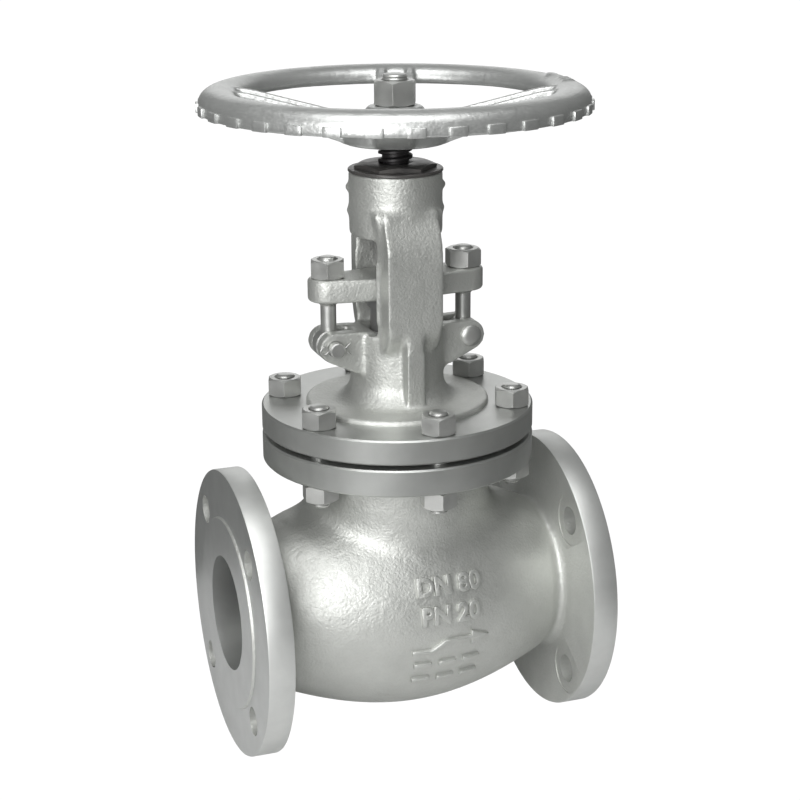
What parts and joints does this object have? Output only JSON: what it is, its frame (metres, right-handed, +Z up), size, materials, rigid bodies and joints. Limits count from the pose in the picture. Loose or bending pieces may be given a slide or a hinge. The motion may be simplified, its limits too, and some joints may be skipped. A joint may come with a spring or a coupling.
{
  "type": "globe valve",
  "caption": "Flanged globe valve with bolted bonnet, outside screw and yoke, bolted gland and rising handwheel; shuts and throttles flow in a pipe.",
  "frame": {"origin": "centre of the inlet pipe flange's raised face", "axes": "+X along the pipe in the direction of flow, +Z up the stem towards the handwheel, +Y completes the right-handed frame"},
  "size_m": [0.2499, 0.25, 0.4433],
  "materials": {
    "cast_steel": "silver paint over sand-cast steel, satin",
    "machined_steel": "turned, satin",
    "fastener_steel": "zinc plated, satin",
    "cast_iron_wheel": "silver paint over cast iron, satin",
    "black_steel": "oiled black oxide, semi-gloss",
    "graphite": "graphite, matt"
  },
  "bodies": {
    "valve_body": {"body": "cast_steel", "inlet_flange": "cast_steel", "outlet_flange": "cast_steel", "seat_ring": "machined_steel", "bonnet_gasket": "graphite", "bonnet": "cast_steel", "bonnet_studs": "fastener_steel", "bonnet_nuts_upper": "fastener_steel", "bonnet_nuts_lower": "fastener_steel", "backseat_bush": "machined_steel", "packing_washer": "machined_steel", "packing_rings": "graphite", "eyebolt_left": "fastener_steel", "eyebolt_right": "fastener_steel", "eyebolt_pin_left": "fastener_steel", "eyebolt_pin_right": "fastener_steel", "split_pins": "machined_steel", "stem_nut": "black_steel"},
    "disc_assembly": {"disc": "machined_steel", "disc_nut": "machined_steel"},
    "stem_and_wheel": {"stem": "black_steel", "handwheel": "cast_iron_wheel", "wheel_nut": "fastener_steel"},
    "gland": {"gland_follower": "machined_steel", "gland_flange": "cast_steel"},
    "left_gland_nut": {"gland_nut_left": "fastener_steel"},
    "right_gland_nut": {"gland_nut_right": "fastener_steel"}
  },
  "joints": [
    {"name": "disc_lift", "type": "slide", "parent": "valve_body", "child": "disc_assembly", "axis": [0, 0, 1], "range_m": [0, 0.0225]},
    {"name": "stem_turn", "type": "hinge", "parent": "disc_assembly", "child": "stem_and_wheel", "pos_m": [0.12065, 0, 0.3], "axis": [0, 0, 1], "range_deg": [0, 1620]},
    {"name": "gland_take_up", "type": "slide", "parent": "valve_body", "child": "gland", "axis": [0, 0, -1], "range_m": [0, 0.005], "deforming": ["packing_rings"]},
    {"name": "left_nut_turn", "type": "hinge", "parent": "gland", "child": "left_gland_nut", "pos_m": [0.07415, 0, 0.227], "axis": [0, 0, -1], "range_deg": [0, 1029]},
    {"name": "right_nut_turn", "type": "hinge", "parent": "gland", "child": "right_gland_nut", "pos_m": [0.16715, 0, 0.227], "axis": [0, 0, -1], "range_deg": [0, 1029]}
  ],
  "couplings": [
    {"joint": "disc_lift", "follows": "stem_turn", "m_per_rad": 0.00079577},
    {"joint": "left_nut_turn", "follows": "gland_take_up", "rad_per_m": 3590.4},
    {"joint": "right_nut_turn", "follows": "gland_take_up", "rad_per_m": 3590.4}
  ]
}
